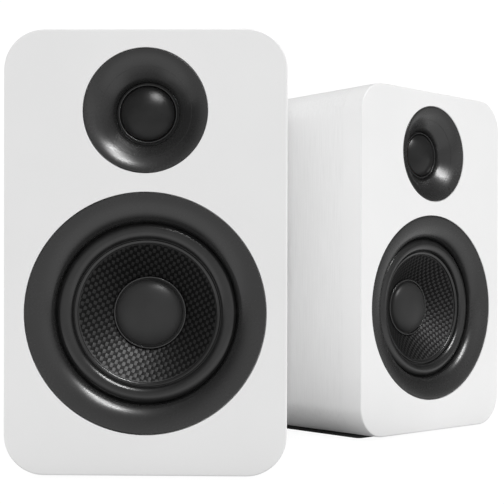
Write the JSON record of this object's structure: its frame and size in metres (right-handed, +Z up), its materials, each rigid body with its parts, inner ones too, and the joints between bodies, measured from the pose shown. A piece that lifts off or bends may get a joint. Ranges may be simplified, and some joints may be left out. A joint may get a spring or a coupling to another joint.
{
  "type": "desktop speakers",
  "caption": "Powered desktop speakers: rounded white cabinets, each with a dark grey ringed woofer, a horn-loaded dome tweeter and a rear bass port.",
  "frame": {"origin": "centre of the active speaker's base pad, on its underside, which rests on the desk", "axes": "+Z up; -Y is the way the active speaker faces; +X is to the right of a listener who looks at its front; the passive speaker stands behind its right side, turned 43.5 degrees to face right"},
  "size_m": [0.2873, 0.3576, 0.222],
  "materials": {
    "white_paint": "satin white paint over fibreboard",
    "dark_grey_plastic": "satin dark grey moulding",
    "black_plastic": "fine-textured black moulding",
    "black_rubber": "matt black rubber",
    "woven_cone": "coated black woven fibre",
    "soft_grey_cap": "matt dark grey dome",
    "coated_silk": "coated dark dome",
    "black_steel": "black coated steel",
    "zinc_steel": "zinc plated steel",
    "ferrite": "matt dark grey ferrite",
    "copper_winding": "copper wire on a former",
    "spider_cloth": "resin-stiffened cloth",
    "black_panel": "satin black coated plate",
    "nickel": "nickel plated",
    "circuit_board": "green solder mask",
    "red_plastic": "satin red moulding",
    "transformer_core": "varnished laminations"
  },
  "bodies": {
    "active_cabinet": {"active_base_pad": "black_rubber", "active_cabinet_wrap": "white_paint", "active_front_baffle": "white_paint", "active_rear_panel": "white_paint", "active_port_tube": "black_plastic", "active_woofer_trim_ring": "dark_grey_plastic", "active_woofer_basket": "black_steel", "active_woofer_surround": "black_rubber", "active_woofer_spider": "spider_cloth", "active_woofer_top_plate": "zinc_steel", "active_woofer_magnet": "ferrite", "active_woofer_yoke": "zinc_steel", "active_tweeter_waveguide": "dark_grey_plastic", "active_tweeter_surround": "black_rubber", "active_tweeter_magnet_cup": "zinc_steel", "active_terminal_block": "black_plastic", "active_amp_plate": "black_panel", "active_circuit_board": "circuit_board", "active_transformer": "transformer_core", "active_volume_pot": "zinc_steel", "active_switch_housing": "black_plastic", "active_power_inlet": "black_plastic", "active_rca_jack_left": "nickel", "active_rca_jack_right": "nickel", "active_aux_jack": "black_plastic"},
    "active_woofer_motion": {"active_woofer_cone": "woven_cone", "active_woofer_dust_cap": "soft_grey_cap", "active_woofer_voice_coil": "copper_winding"},
    "active_tweeter_motion": {"active_tweeter_dome": "coated_silk", "active_tweeter_voice_coil": "copper_winding"},
    "active_red_lever": {"active_terminal_lever_red": "red_plastic"},
    "active_black_lever": {"active_terminal_lever_black": "black_plastic"},
    "active_volume_control": {"active_volume_knob": "black_plastic", "active_volume_shaft": "nickel"},
    "active_power_switch": {"active_power_rocker": "black_plastic"},
    "passive_cabinet": {"passive_base_pad": "black_rubber", "passive_cabinet_wrap": "white_paint", "passive_front_baffle": "white_paint", "passive_rear_panel": "white_paint", "passive_port_tube": "black_plastic", "passive_woofer_trim_ring": "dark_grey_plastic", "passive_woofer_basket": "black_steel", "passive_woofer_surround": "black_rubber", "passive_woofer_spider": "spider_cloth", "passive_woofer_top_plate": "zinc_steel", "passive_woofer_magnet": "ferrite", "passive_woofer_yoke": "zinc_steel", "passive_tweeter_waveguide": "dark_grey_plastic", "passive_tweeter_surround": "black_rubber", "passive_tweeter_magnet_cup": "zinc_steel", "passive_terminal_block": "black_plastic", "passive_crossover_board": "circuit_board"},
    "passive_woofer_motion": {"passive_woofer_cone": "woven_cone", "passive_woofer_dust_cap": "soft_grey_cap", "passive_woofer_voice_coil": "copper_winding"},
    "passive_tweeter_motion": {"passive_tweeter_dome": "coated_silk", "passive_tweeter_voice_coil": "copper_winding"},
    "passive_red_lever": {"passive_terminal_lever_red": "red_plastic"},
    "passive_black_lever": {"passive_terminal_lever_black": "black_plastic"}
  },
  "joints": [
    {"name": "passive_speaker_slide", "type": "slide", "parent": "active_cabinet", "child": "passive_cabinet", "axis": [1, 0, 0], "range_m": [0, 0.5]},
    {"name": "active_woofer_slide", "type": "slide", "parent": "active_cabinet", "child": "active_woofer_motion", "axis": [0, -1, 0], "range_m": [-0.003, 0.003], "stiffness_N_per_m": 1000, "deforming": ["active_woofer_surround", "active_woofer_spider"]},
    {"name": "active_tweeter_slide", "type": "slide", "parent": "active_cabinet", "child": "active_tweeter_motion", "axis": [0, -1, 0], "range_m": [-0.0003, 0.0003], "stiffness_N_per_m": 5000, "deforming": ["active_tweeter_surround"]},
    {"name": "passive_woofer_slide", "type": "slide", "parent": "passive_cabinet", "child": "passive_woofer_motion", "axis": [0.6884, -0.7254, 0], "range_m": [-0.003, 0.003], "stiffness_N_per_m": 1000, "deforming": ["passive_woofer_surround", "passive_woofer_spider"]},
    {"name": "passive_tweeter_slide", "type": "slide", "parent": "passive_cabinet", "child": "passive_tweeter_motion", "axis": [0.6884, -0.7254, 0], "range_m": [-0.0003, 0.0003], "stiffness_N_per_m": 5000, "deforming": ["passive_tweeter_surround"]},
    {"name": "active_volume_turn", "type": "hinge", "parent": "active_cabinet", "child": "active_volume_control", "pos_m": [0.03, 0.088, 0.112], "axis": [0, 1, 0], "range_deg": [-150, 150]},
    {"name": "active_power_rock", "type": "hinge", "parent": "active_cabinet", "child": "active_power_switch", "pos_m": [-0.028, 0.0872, 0.038], "axis": [1, 0, 0], "range_deg": [-16, 0]},
    {"name": "active_red_lever_press", "type": "hinge", "parent": "active_cabinet", "child": "active_red_lever", "pos_m": [-0.009, 0.0858, 0.07], "axis": [1, 0, 0], "range_deg": [0, 20], "stiffness_Nm_per_rad": 0.15, "springref_deg": -11.46},
    {"name": "active_black_lever_press", "type": "hinge", "parent": "active_cabinet", "child": "active_black_lever", "pos_m": [0.009, 0.0858, 0.07], "axis": [1, 0, 0], "range_deg": [0, 20], "stiffness_Nm_per_rad": 0.15, "springref_deg": -11.46},
    {"name": "passive_red_lever_press", "type": "hinge", "parent": "passive_cabinet", "child": "passive_red_lever", "pos_m": [0.04031, 0.21364, 0.07], "axis": [0.7254, 0.6884, 0], "range_deg": [0, 20], "stiffness_Nm_per_rad": 0.15, "springref_deg": -11.46},
    {"name": "passive_black_lever_press", "type": "hinge", "parent": "passive_cabinet", "child": "passive_black_lever", "pos_m": [0.05337, 0.22603, 0.07], "axis": [0.7254, 0.6884, 0], "range_deg": [0, 20], "stiffness_Nm_per_rad": 0.15, "springref_deg": -11.46}
  ]
}
